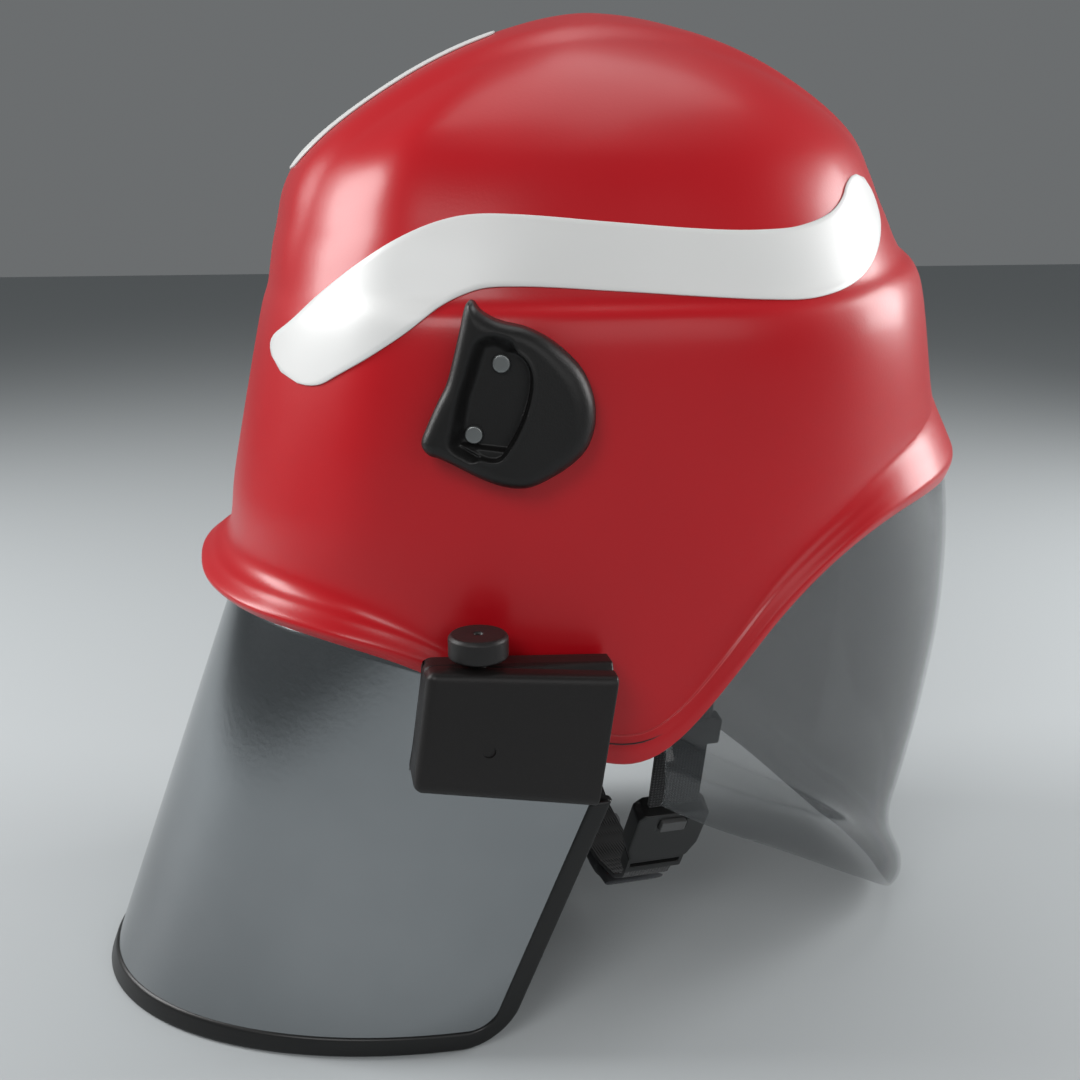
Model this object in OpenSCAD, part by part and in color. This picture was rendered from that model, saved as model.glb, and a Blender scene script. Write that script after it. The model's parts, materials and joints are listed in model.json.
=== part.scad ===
// Structural firefighter helmet with half-face visor, neck guard and head harness.
// Front of the helmet is -Y, wearer's left is +X, the floor is z = 0. Units are mm.

/* [Shell] */
// Wall thickness of the outer shell
shell_t = 3.5; // [2.5:0.5:6]
// Segments around the shell
shell_nu = 64; // [48:8:96]
// Rows from rim to apex
shell_nv = 24; // [16:2:36]
// Thickness of the reflective stripes
stripe_t = 1; // [0.6:0.1:2]
// Half width of the centre crest stripe
crest_half = 20; // [12:1:28]

/* [Visor] */
// Half width of the visor at the floor
visor_a = 97; // [85:1:105]
// Forward reach of the visor at the floor
visor_b = 144.5; // [120:0.5:155]
// Forward lean of the visor (mm per mm of height)
visor_lean = 0.376; // [0.2:0.002:0.5]
// Lens thickness
lens_t = 2.5; // [1.5:0.1:4]
// Width of the edge trim
trim_w = 8; // [5:0.5:12]
// Pivot height above the floor
pivot_z = 136.5; // [110:0.5:140]
// Pivot position front to back
pivot_y = -52; // [-60:1:-40]
// Pivot pin radius
pin_r = 3; // [2:0.1:4]
// Running clearance on radius
run_c = 0.05; // [0.01:0.01:0.1]

/* [Hinge box] */
// Box depth across the helmet
box_w = 18; // [14:0.5:24]
// Box length front to back
box_l = 60.5; // [50:0.5:75]
// Box height
box_h = 42; // [40:1:60]
// Box wall
box_wall = 2.2; // [1.6:0.1:4]
// Clamp knob radius
knob_r = 9.5; // [7:0.5:12]
// Clamp stud radius
stud_r = 2.5; // [2:0.1:3]

/* [Harness] */
// Impact liner thickness
liner_t = 18; // [12:1:28]
// Headband half width at the temples
band_a = 82; // [74:1:88]
// Headband height
band_h = 28; // [20:1:40]
// Chin strap width
strap_w = 20; // [15:1:25]
// Chin strap thickness
strap_t = 2; // [1:0.5:3]
// Front to back place of the chin strap
strap_y = 30; // [20:1:45]

/* [Neck guard] */
// Neck guard sheet thickness
guard_t = 1.6; // [1:0.1:3]

/* [Hidden] */
ysh = 7.95;         // shifts every part so the bounding box is centred on y = 0
yc = 18;            // plan centre of the shell
rim_y = [-137,-118,-98,-78,-60,-42,-26,-8,5,17,28,38,53,70,88,108,135,175];
rim_z = [166,165,163,158,150,138,127,119,117.5,123,135,147,165,180,190.5,197,200,201];
lip_y = [-137,-90,-70,-45,-20,10,40,90,130,175];
lip_o = [12.5,10,6.5,3,2.5,2.5,4,6,7,7.5];
lip_w = [0.75,1,0.62,0.08];
// half width, front reach, rear reach, front exponent, rear exponent, z front, z side, z rear, 1 = above the rim
lev = [[115,143,143,2.45,2.2,0,0,0,1],[115,143,143,2.45,2.2,5,5,5,1],[115,143,143,2.45,2.2,10,10,10,1],
 [115.5,142.5,141,2.5,2.2,18,18,18,1],[117.5,139.5,137.5,2.6,2.2,203,200,238,0],[120,127.2,127,2.7,2.2,258,259,279,0],
 [114,122.8,117,2.7,2.2,273,274,291,0],[107,118,110.5,2.65,2.2,292,292,304,0],[94,108,99,2.5,2.15,317,318,328,0],
 [70,75.5,72,2.3,2.1,342,343,348,0],[37,39,40,2.1,2,360,360,362.5,0]];
apex = [0,18,369];
nl = len(lev);
function idx(xs,x,i=0) = (i>=len(xs)-2 || x<xs[i+1]) ? i : idx(xs,x,i+1);
function sl(xs,ys,i) = i==0 ? (ys[1]-ys[0])/(xs[1]-xs[0]) : i==len(xs)-1 ? (ys[i]-ys[i-1])/(xs[i]-xs[i-1]) : (ys[i+1]-ys[i-1])/(xs[i+1]-xs[i-1]);
function ip(xs,ys,x0) = let(x=min(max(x0,xs[0]),xs[len(xs)-1]), i=idx(xs,x), h=xs[i+1]-xs[i], t=(x-xs[i])/h, t2=t*t, t3=t2*t)
 (2*t3-3*t2+1)*ys[i]+(t3-2*t2+t)*h*sl(xs,ys,i)+(3*t2-2*t3)*ys[i+1]+(t3-t2)*h*sl(xs,ys,i+1);
function sg(v) = v<0 ? -1 : 1;
function ring(k,p) = let(q=lev[k], c=cos(p), s=sin(p), n=q[4]+(q[3]-q[4])*(1+c)/2,
 x=q[0]*sg(s)*pow(abs(s),2/n), b=c>0?q[1]:q[2], y=yc-b*sg(c)*pow(abs(c),2/n))
 q[8]==1 ? let(nx=sg(x)*pow(abs(x)/q[0],n-1)/q[0], ny=sg(y-yc)*pow(abs(y-yc)/b,n-1)/b, l=norm([nx,ny]), o=ip(lip_y,lip_o,y)*lip_w[k])
   [x+o*nx/l, y+o*ny/l, ip(rim_y,rim_z,y)+q[5]*ip([-137,-90,40,75,110,150,175],[0.78,0.85,1,0.8,1,1.45,1.5],y)]
 : [x,y,q[6]+(c>0?(q[5]-q[6])*c*c:(q[7]-q[6])*pow(abs(c),k==4?0.85:2))];
function lp(k,p) = k<0 ? 2*ring(0,p)-ring(1,p) : k<nl ? ring(k,p) : k==nl ? apex : ring(nl-1,p+180);
function sst(v) = let(c=min(max(v,0),1)) c*c*(3-2*c);
function cl(v) = min(max(v,0),1);
// point on the outer surface, t = row 0..nl, p = angle from the front
function sp(t,p) = let(i=min(floor(t),nl-1), u=t-i, a=lp(i-1,p), b=lp(i,p), c=lp(i+1,p), d=lp(i+2,p),
 g=0.5*((2*b)+(c-a)*u+(2*a-5*b+4*c-d)*u*u+(3*b-a-3*c+d)*u*u*u), r=g-[0,18,235],
 pd=abs(p>180?p-360:p), rb=2*exp(-pow((pd-47)/9,2))*cl((t-3.2)/1.2)*cl(9.2-t), cb=1.8*sst((48-abs(g[0]))/16)*cl((t-6)/1.5))
 g+r/norm(r)*(rb+cb);
function unit(v) = v/norm(v);
function sn(t,p) = t>nl-0.05 ? [0,0,1] : unit(cross(sp(t,p+1.5)-sp(t,p-1.5), sp(min(t+0.1,nl),p)-sp(max(t-0.1,0),p)));
function so(t,p,o) = sp(t,p)+o*sn(t,p);
// closed wall between two point grids (rows x columns), columns open
function gfaces(n,m) = let(N=n*m) concat(
 [for(i=[0:n-2],j=[0:m-2]) each [[i*m+j,i*m+j+1,(i+1)*m+j+1],[i*m+j,(i+1)*m+j+1,(i+1)*m+j]]],
 [for(i=[0:n-2],j=[0:m-2]) each [[N+i*m+j,N+(i+1)*m+j+1,N+i*m+j+1],[N+i*m+j,N+(i+1)*m+j,N+(i+1)*m+j+1]]],
 [for(j=[0:m-2]) each [[j,N+j,N+j+1],[j,N+j+1,j+1],[(n-1)*m+j,(n-1)*m+j+1,N+(n-1)*m+j+1],[(n-1)*m+j,N+(n-1)*m+j+1,N+(n-1)*m+j]]],
 [for(i=[0:n-2]) each [[i*m,(i+1)*m,N+(i+1)*m],[i*m,N+(i+1)*m,N+i*m],[i*m+m-1,N+i*m+m-1,N+(i+1)*m+m-1],[i*m+m-1,N+(i+1)*m+m-1,(i+1)*m+m-1]]]);
module wall(A,B,n,m) { polyhedron(points=concat([for(r=A) each r],[for(r=B) each r]), faces=gfaces(n,m), convexity=8); }
// dome skin from row t0 to the apex between offsets o1 (outer) and o2 (inner)
module dome(t0,o1,o2,nu,nv) {
 R=[for(i=[0:nv-1]) t0+(nl-t0)*i/nv];
 A=[for(t=R) each [for(j=[0:nu-1]) so(t,j*360/nu,o1)]];
 B=[for(t=R) each [for(j=[0:nu-1]) so(t,j*360/nu,o2)]];
 N=nu*nv; ta=2*N; tb=2*N+1;
 F=concat(
  [for(i=[0:nv-2],j=[0:nu-1]) let(k=(j+1)%nu) each [[i*nu+j,(i+1)*nu+k,i*nu+k],[i*nu+j,(i+1)*nu+j,(i+1)*nu+k]]],
  [for(i=[0:nv-2],j=[0:nu-1]) let(k=(j+1)%nu) each [[N+i*nu+j,N+i*nu+k,N+(i+1)*nu+k],[N+i*nu+j,N+(i+1)*nu+k,N+(i+1)*nu+j]]],
  [for(j=[0:nu-1]) let(k=(j+1)%nu,q=(nv-1)*nu) each [[q+j,ta,q+k],[N+q+j,N+q+k,tb],[j,k,N+k],[j,N+k,N+j]]]);
 polyhedron(points=concat(A,B,[apex+[0,0,1.8+o1],apex+[0,0,1.8+o2]]), faces=F, convexity=10);
}
// stripe patch on the shell: f(s,w) rows along, columns across
s_k = [0,0.06,0.14,0.21,0.28,0.35,0.48,0.61,0.7,0.78,0.86,0.93,1];
function side_y(s) = ip(s_k,[-106.5,-96,-80,-65,-50,-35,-7,24,45,62,79,91,98],s);
function side_z(s) = ip(s_k,[248.5,256.5,269,280,286.3,287.2,285.4,283.2,282.4,283.2,288,297,310],s);
// row and angle on the shell for a wanted y,z on the +X side (found by bisection)
function find_t(p,z,a=3.2,b=9.5,n=14) = n==0 ? (a+b)/2 : let(m=(a+b)/2) sp(m,p)[2]<z ? find_t(p,z,m,b,n-1) : find_t(p,z,a,m,n-1);
function find_p(y,z,a=2,b=178,n=14) = n==0 ? (a+b)/2 : let(m=(a+b)/2) sp(find_t(m,z),m)[1]<y ? find_p(y,z,m,b,n-1) : find_p(y,z,a,m,n-1);
function on_shell(y,z) = let(p=find_p(y,z)) [find_t(p,z),p];
module mir() { mirror([1,0,0]) children(); }
module at() { translate([0,ysh,0]) children(); }

module shell() color([0.72,0.1,0.12]) at() dome(0,0,-shell_t,shell_nu,shell_nv);

module side_stripe() {
 n=22; m=4;
 G=[for(i=[0:n-1]) let(s=i/(n-1), y=side_y(s), z=side_z(s), y1=side_y(min(s+0.02,1)), z1=side_z(min(s+0.02,1)), y0=side_y(max(s-0.02,0)), z0=side_z(max(s-0.02,0)),
   l=norm([y1-y0,z1-z0]), hw=10.6*sqrt(max(0.12,1-pow(max(abs(s-0.5)*2-0.88,0)/0.12,2))))
   [for(j=[0:m-1]) let(w=hw*(2*j/(m-1)-1)) on_shell(y-(z1-z0)/l*w, z+(y1-y0)/l*w)]];
 wall([for(r=G)[for(q=r) so(q[0],q[1],0.15+stripe_t)]],[for(r=G)[for(q=r) so(q[0],q[1],0.15)]],n,m);
}
module stripe_left() color([0.92,0.92,0.92]) at() side_stripe();
module stripe_right() color([0.92,0.92,0.92]) at() mir() side_stripe();
module stripe_front() color([0.92,0.92,0.92]) at() {
 n=12; m=6;
 T=[for(i=[0:n-1]) 7.85+2.15*i/(n-1)];
 G=[for(t=T) let(r=abs(sp(t,0)[1]-yc), e=min(1,0.55+0.45*(t-7.85)/0.3)) [for(j=[0:m-1]) let(x=crest_half*e*(2*j/(m-1)-1)) [t, atan2(x,r)]]];
 wall([for(r=G)[for(q=r) so(q[0],(q[1]+360)%360,0.15)]],[for(r=G)[for(q=r) so(q[0],(q[1]+360)%360,0.15+stripe_t)]],n,m);
}

// mask adapter, drawn in its own plane: u along the helmet, w up, thickness outward
ad_y = -40; ad_z = 243; ad_yaw = 15; ad_x = 110.5;
scr = [[-1.5,12],[-10,-9.5]];
module ad_frame() translate([ad_x,ad_y,ad_z]) rotate([0,0,-ad_yaw]) rotate([90,0,90]) children();
module ad_profile() polygon([[-26,-12],[-24,-6.5],[-21,0],[-18,6],[-16,13],[-14,21],[-12,29],[-10,30],[-8,27.5],[-5,25.5],[-1,24],[5.5,22.5],[12,19.5],[18,15],[23,9.5],[26,3],[27,-3],[26.5,-9],[24,-15],[19,-20],[12,-24],[6,-26],[-1,-25.5],[-8,-23],[-15,-19.5],[-20,-17],[-24,-15.5]]);
module adapter() color([0.08,0.08,0.08]) ad_frame() difference() {
 linear_extrude(14) ad_profile();
 translate([0,0,8]) linear_extrude(7) polygon([[-7,17.5],[-3.5,18.5],[1,17],[5.5,14],[7.5,10.5],[8,6],[7,0],[5,-6],[1,-13.5],[-2.5,-17],[-7.5,-16.5],[-12,-14],[-15,-11.5],[-14,-5],[-12.5,2],[-10.5,8],[-8.5,14.5]]);
 for(s=scr) translate([s[0],s[1],3]) cylinder(r=1.6,h=12,$fn=24);
}
module mask_adapter_left() at() adapter();
module mask_adapter_right() at() mir() adapter();
module ad_screw(i) color([0.3,0.31,0.31]) ad_frame() translate([scr[i][0],scr[i][1],0]) {
 translate([0,0,8.05]) cylinder(r=2.8,h=2,$fn=32);
 translate([0,0,3.5]) cylinder(r=1.55,h=5,$fn=24);
}
module adapter_screw_upper_left() at() ad_screw(0);
module adapter_screw_lower_left() at() ad_screw(1);
module adapter_screw_upper_right() at() mir() ad_screw(0);
module adapter_screw_lower_right() at() mir() ad_screw(1);

// hinge box, yawed to follow the shell and pitched with its rim
box_x = 125; box_y = -44; box_z = 140.5; box_yaw = 4; box_pitch = 8; knob_y = -53; knob_x = 123.5; box_top = 164.1;
module box_frame() translate([box_x,box_y,box_z]) rotate([0,0,-box_yaw]) rotate([-box_pitch,0,0]) children();
module rrect(l,h,r) { polygon([for(k=[0:3],i=[0:5]) let(a=k*90+i*18, cx=(k==0||k==3)?l/2-r:-l/2+r, cy=(k<2)?h/2-r:-h/2+r) [cx+r*cos(a),cy+r*sin(a)]]); }
module hbox() color([0.07,0.07,0.07]) difference() {
 union() {
  box_frame() translate([-box_w/2,0,0]) rotate([90,0,90]) linear_extrude(box_w) rrect(box_l,box_h,4);
  translate([109,-34,134]) cube([9,14,14]);
 }
 box_frame() translate([-box_w/2+box_wall,6,0]) rotate([90,0,90]) linear_extrude(box_w-2*box_wall) rrect(box_l+12-box_wall*2,box_h-2*box_wall,3);
 translate([100,pivot_y,pivot_z]) rotate([0,90,0]) cylinder(r=pin_r+run_c,h=50,$fn=48);
 translate([knob_x,knob_y,box_top-10]) cylinder(r=stud_r+run_c,h=12,$fn=48);
}
module hinge_box_left() at() hbox();
module hinge_box_right() at() mir() hbox();
module jaw() color([0.25,0.25,0.25]) difference() {
 translate([knob_x-4,knob_y-6,142]) cube([8,12,9]);
 translate([knob_x,knob_y,130]) cylinder(r=stud_r+run_c,h=24,$fn=48);
}
module clamp_jaw_left() at() jaw();
module clamp_jaw_right() at() mir() jaw();
module knob() color([0.09,0.09,0.09]) translate([knob_x,knob_y,0]) rotate_extrude($fn=72)
 polygon([[0,143.5],[stud_r,143.5],[stud_r,box_top+0.4],[6,box_top+0.4],[6,box_top+1.4],[knob_r-0.6,box_top+1.4],[knob_r,box_top+2],[knob_r,box_top+8.8],[knob_r-1,box_top+9.8],[1.6,box_top+9.8],[1.2,box_top+9],[0,box_top+9]]);
module clamp_knob_left() at() knob();
module clamp_knob_right() at() mir() knob();
module pin() color([0.35,0.35,0.36]) translate([0,pivot_y,pivot_z]) rotate([0,90,0]) {
 translate([0,0,88]) cylinder(r=pin_r,h=44.8,$fn=48);
 translate([0,0,84.6]) cylinder(r=5,h=3.5,$fn=48);
}
module pivot_pin_left() at() pin();
module pivot_pin_right() at() mir() pin();
module bushing() color([0.12,0.12,0.12]) translate([0,pivot_y,pivot_z]) rotate([0,90,0]) difference() {
 union() { translate([0,0,88.5]) cylinder(r=6,h=25.8,$fn=64); translate([0,0,88.5]) cylinder(r=9,h=3,$fn=64); }
 translate([0,0,80]) cylinder(r=pin_r+run_c,h=40,$fn=48);
}
module pivot_bushing_left() at() bushing();
module pivot_bushing_right() at() mir() bushing();

// visor: sheet leaning forward; a = angle from the +X side, z = height, o = offset outward
function vp(a,z,o) = [(visor_a+o)*cos(a)*(1+0.001*z), -40-(visor_b+o)*sin(a)+visor_lean*z, z];
function aq(a) = a>90 ? 180-a : a;
function vtop(a) = ip([0,10,20,35,60,90],[100,118,137,150,156,157],aq(a));
cor = 16; // corner radius of the visor sheet
// angle inset of the outline at height z, for an outline inset by d
function ain(z,d) = let(r=max(cor-d,3), zz=z-d, k=zz<r ? r-sqrt(max(0,r*r-pow(r-max(zz,0),2))) : 0) (d+k)/visor_b*180/PI;
function gz(lo,i,n) = lo+(157-lo)*pow(i/n,1.6);
module lens() {
 n=16; m=49;
 Z=[for(i=[0:n-1]) [for(j=[0:m-1]) let(z0=gz(trim_w+0.1,i,n-1), a0=ain(z0,trim_w+0.1), a=a0+(180-2*a0)*j/(m-1)) [a, trim_w+0.1+(vtop(a)-trim_w-0.1)*(z0-trim_w-0.1)/(157-trim_w-0.1)]]];
 wall([for(r=Z)[for(q=r) vp(q[0],q[1],-lens_t)]],[for(r=Z)[for(q=r) vp(q[0],q[1],0)]],n,m);
}
module visor_lens() color([0.62,0.64,0.65]) at() difference() {
 lens();
 for(s=[-1,1]) translate([s*100,pivot_y,pivot_z]) rotate([0,90,0]) cylinder(r=6.2,h=30,center=true,$fn=40);
}
// trim outline: down the left side, round the corner, along the bottom and up the right side
function tpath(d) = concat([for(i=[0:7]) let(z=100-(100-cor)*i/7) [ain(z,d),z]],
 [for(i=[1:5]) let(b=i*18, r=cor-d) [(d+r-r*cos(b))/visor_b*180/PI, d+r-r*sin(b)]],
 [for(i=[1:39]) let(a0=cor/visor_b*180/PI) [a0+(180-2*a0)*i/40, d]],
 [for(i=[5:-1:1]) let(b=i*18, r=cor-d) [180-(d+r-r*cos(b))/visor_b*180/PI, d+r-r*sin(b)]],
 [for(i=[7:-1:0]) let(z=100-(100-cor)*i/7) [180-ain(z,d),z]]);
module visor_trim() color([0.05,0.05,0.05]) at() {
 D=[0,trim_w/2,trim_w]; n=3; P=[for(d=D) tpath(d)]; m=len(P[0]);
 wall([for(p=P)[for(q=p) vp(q[0],q[1],-lens_t-1)]],[for(p=P)[for(q=p) vp(q[0],q[1],1)]],n,m);
}
function ctop(a) = min(vtop(a)-2,142);
module carrier() color([0.1,0.1,0.1]) difference() {
 wall([for(i=[0:5])[for(j=[0:5]) let(a=16+12*j/5) vp(a,119+(ctop(a)-119)*i/5,0.2)]],
      [for(i=[0:5])[for(j=[0:5]) let(a=16+12*j/5) vp(a,119+(ctop(a)-119)*i/5,2.4)]],6,6);
 translate([100,pivot_y,pivot_z]) rotate([0,90,0]) cylinder(r=6.2,h=40,center=true,$fn=40);
}
module carrier_plate_left() at() carrier();
module carrier_plate_right() at() mir() carrier();

// liner and pads
module impact_liner() color([0.15,0.15,0.16]) at() dome(4.15,-shell_t-0.15,-shell_t-liner_t,48,12);
module crown_pad() color([0.12,0.12,0.13]) at() dome(9.6,-shell_t-liner_t-0.3,-shell_t-liner_t-9,32,4);
// plan strips
module strip(P,Q,z0,h) translate([0,0,z0]) linear_extrude(h) polygon(concat(P,[for(i=[len(Q)-1:-1:0]) Q[i]]));
function fr(a,b,y0,yend) = concat([[-a,yend]],[for(i=[0:36]) [-a*cos(i*5),y0-b*sin(i*5)]],[[a,yend]]);
function re(a,b,y0,yend) = concat([[-a,yend]],[for(i=[0:36]) [-a*cos(i*5),y0+b*sin(i*5)]],[[a,yend]]);
function na(a,b) = [for(i=[10:26]) [-a*cos(i*5),58+b*sin(i*5)]];
band_z = 206;
module headband_front() color([0.14,0.14,0.15]) at() strip(fr(band_a,94,5,48),fr(band_a-2,92,5,48),band_z,band_h);
module brow_pad() color([0.2,0.2,0.21]) at() strip(fr(band_a-2.1,91.9,5,-30),fr(band_a-9,84.5,5,-30),band_z+1,band_h-2);
module headband_rear() color([0.14,0.14,0.15]) at() strip(re(band_a+2.8,62,58,22),re(band_a+0.7,60,58,22),band_z+3,band_h-6);
module nape_pad() color([0.2,0.2,0.21]) at() strip(na(band_a+0.6,59.9),na(band_a-6,53),band_z+3.5,band_h-7);
module arcs(a,h,t,w) rotate([90,0,0]) translate([0,0,-w/2]) linear_extrude(w) polygon(concat([for(i=[0:36]) [a*cos(i*5),h*sin(i*5)]],[for(i=[36:-1:0]) [(a-t)*cos(i*5),(h-t)*sin(i*5)]]));
module crown_strap_side() color([0.16,0.16,0.16]) at() translate([0,5,band_z+band_h+0.05]) arcs(band_a,84,1.8,20);
module crown_strap_long() color([0.16,0.16,0.16]) at() translate([0,22,band_z+band_h+0.05]) rotate([0,0,90]) arcs(110,86.5,1.8,20);
// ratchet
rd_y = 120.2; rd_z = band_z+band_h/2;
module ratchet_housing() color([0.1,0.1,0.1]) at() difference() {
 translate([-28,rd_y,rd_z-15]) cube([56,9,30]);
 translate([0,rd_y-1,rd_z]) rotate([-90,0,0]) cylinder(r=4+run_c,h=20,$fn=48);
}
module ratchet_dial() color([0.13,0.13,0.13]) at() translate([0,rd_y,rd_z]) rotate([-90,0,0]) {
 translate([0,0,1]) cylinder(r=4,h=9,$fn=48);
 translate([0,0,9.4]) difference() { cylinder(r=13,h=11,$fn=72); for(k=[0:11]) rotate([0,0,k*30]) translate([14.2,0,-1]) cylinder(r=2.4,h=14,$fn=20); }
}
// neck guard: q = angle from the rear, t = 0 top to 1 bottom
g_h = [0,8,22,34,60,90,130,170,210];
g_r = [0.93,0.915,0.885,0.885,0.925,0.965,0.995,0.99,0.95];
function g_bot(y) = max(0,ip([8,34,75,112,133,150,158],[98,88,66,40,23,7,0],y));
function gp(q,t,o) = let(e=2/2.4, ux=sg(sin(q))*pow(abs(sin(q)),e), uy=pow(abs(cos(q)),e), y0=yc+152*0.94*uy, zt=ip(rim_y,rim_z,y0)+7, zb=g_bot(y0), h=(zt-zb)*(1-t), r=ip(g_h,g_r,h))
 [(112*r+o)*ux, yc+(152*r+o)*uy, zb+h];
module neck_guard() color([0.25,0.27,0.28]) at() {
 n=20; m=41;
 wall([for(i=[0:n-1])[for(j=[0:m-1]) gp(-90+180*j/(m-1),i/(n-1),-guard_t)]],[for(i=[0:n-1])[for(j=[0:m-1]) gp(-90+180*j/(m-1),i/(n-1),0)]],n,m);
}
// chin strap
module web(P,w) rotate([90,0,0]) translate([0,0,-w/2]) linear_extrude(w) polygon(P);
function off(P,d) = [for(i=[0:len(P)-1]) let(a=P[max(i-1,0)],b=P[min(i+1,len(P)-1)],t=unit(b-a)) P[i]+d*[-t[1],t[0]]];
function thick(P,d) = concat(off(P,d/2),[for(i=[len(P)-1:-1:0]) off(P,-d/2)[i]]);
PL = [[95.5,171],[95.5,150],[93.5,125],[83,82]];
PR = [[-95.5,171],[-95.5,150],[-93,124],[-88.5,100],[-80,78],[-66,56],[-48,38],[-24,27],[0,24],[24,25.5],[44,30],[54,36],[60.3,44.2]];
module anchor() color([0.1,0.1,0.1]) translate([96.6,strap_y-9,157.5]) cube([16.6,18,13]);
module strap_anchor_left() at() anchor();
module strap_anchor_right() at() mir() anchor();
module chin_strap_left() color([0.1,0.1,0.11]) at() translate([0,strap_y,0]) web(thick(PL,strap_t),strap_w);
module chin_strap_right() color([0.1,0.1,0.11]) at() translate([0,strap_y,0]) web(thick(PR,strap_t),strap_w);
module chin_pad() color([0.14,0.14,0.14]) at() translate([0,strap_y,0]) web(concat(off([for(i=[7:10]) PR[i]],-1.1),[for(i=[3:-1:0]) off([for(i=[7:10]) PR[i]],-6)[i]]),30);
// buckle frame: origin at the end of the left webbing, +z down along the strap, -x outward
module bk() at() translate([83,strap_y,82]) rotate([0,210.9,0]) children();
module bx(a,b) { translate(a) cube(b-a); }
module buckle_body() color([0.06,0.06,0.06]) bk() difference() {
 translate([0,0,0.1]) rotate([0,90,0]) translate([0,0,-4.5]) linear_extrude(9) polygon([[0,-12],[0,12],[-3,14.5],[-24,14.5],[-33,12],[-33,-12],[-24,-14.5],[-3,-14.5]]);
 bx([-2.2,-10,12],[2.2,10,40]);
 bx([-6,-5.4,3.6],[-1,5.4,10.4]);
}
module buckle_tongue() color([0.08,0.08,0.08]) bk() difference() {
 union() { bx([-1.8,-9.6,13],[1.8,9.6,33.5]); bx([-3,-12,33.4],[3,12,44]); }
 bx([-2.5,-6,15],[2.5,6,30]);
 bx([-4,-10.2,37.5],[4,10.2,40.5]);
}
module buckle_button() color([0.3,0.3,0.3]) bk() bx([-6,-5,4],[-2.6,5,10]);
module strap_slider() color([0.08,0.08,0.08]) at() translate([93.5,strap_y,125]) rotate([0,193.7,0]) difference() {
 bx([-3,-13.5,4],[3,13.5,15]);
 bx([-1.4,-10.4,0],[1.4,10.4,20]);
}

shell();
stripe_left();
stripe_right();
stripe_front();
mask_adapter_left();
mask_adapter_right();
adapter_screw_upper_left();
adapter_screw_lower_left();
adapter_screw_upper_right();
adapter_screw_lower_right();
hinge_box_left();
hinge_box_right();
clamp_jaw_left();
clamp_jaw_right();
clamp_knob_left();
clamp_knob_right();
pivot_pin_left();
pivot_pin_right();
pivot_bushing_left();
pivot_bushing_right();
carrier_plate_left();
carrier_plate_right();
visor_lens();
visor_trim();
impact_liner();
crown_pad();
headband_front();
headband_rear();
brow_pad();
nape_pad();
crown_strap_side();
crown_strap_long();
ratchet_housing();
ratchet_dial();
neck_guard();
strap_anchor_left();
strap_anchor_right();
chin_strap_left();
chin_strap_right();
chin_pad();
buckle_body();
buckle_tongue();
buckle_button();
strap_slider();
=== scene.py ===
import bpy, bmesh, math, json
import numpy as np
from mathutils import Vector, Matrix


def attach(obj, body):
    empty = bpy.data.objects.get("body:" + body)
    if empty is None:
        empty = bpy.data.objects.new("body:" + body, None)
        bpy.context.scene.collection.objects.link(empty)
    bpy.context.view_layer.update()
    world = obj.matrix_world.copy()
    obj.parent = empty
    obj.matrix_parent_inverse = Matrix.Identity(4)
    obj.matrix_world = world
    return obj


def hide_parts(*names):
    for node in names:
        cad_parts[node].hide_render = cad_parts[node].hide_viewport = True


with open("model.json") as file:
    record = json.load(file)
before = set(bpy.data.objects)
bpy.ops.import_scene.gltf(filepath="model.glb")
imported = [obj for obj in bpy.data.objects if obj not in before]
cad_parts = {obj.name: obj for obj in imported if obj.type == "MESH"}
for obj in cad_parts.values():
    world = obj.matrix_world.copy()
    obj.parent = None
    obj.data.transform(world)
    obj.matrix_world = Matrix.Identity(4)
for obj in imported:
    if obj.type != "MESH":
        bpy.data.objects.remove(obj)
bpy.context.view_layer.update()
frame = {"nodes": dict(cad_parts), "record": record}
YS = 7.95
MM = 0.001

# ---------------------------------------------------------------- shell form (mm, same functions as the CAD)
YC = 18.0
RIMY = np.array([-137,-118,-98,-78,-60,-42,-26,-8,5,17,28,38,53,70,88,108,135,175], float)
RIMZ = np.array([166,165,163,158,150,138,127,119,117.5,123,135,147,165,180,190.5,197,200,201], float)
LIPY = np.array([-137, -90, -70, -45, -20, 10, 40, 90, 130, 175], float)
LIPO = np.array([12.5, 10, 6.5, 3, 2.5, 2.5, 4, 6, 7, 7.5], float)
LIPW = [0.75, 1, 0.62, 0.08]
LEV = [[115,143,143,2.45,2.2,0,0,0,1],[115,143,143,2.45,2.2,5,5,5,1],[115,143,143,2.45,2.2,10,10,10,1],
 [115.5,142.5,141,2.5,2.2,18,18,18,1],[117.5,139.5,137.5,2.6,2.2,203,200,238,0],[120,127.2,127,2.7,2.2,258,259,279,0],
 [114,122.8,117,2.7,2.2,273,274,291,0],[107,118,110.5,2.65,2.2,292,292,304,0],[94,108,99,2.5,2.15,317,318,328,0],
 [70,75.5,72,2.3,2.1,342,343,348,0],[37,39,40,2.1,2,360,360,362.5,0]]
APEX = np.array([0, 18, 369.0])
NL = len(LEV)


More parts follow.
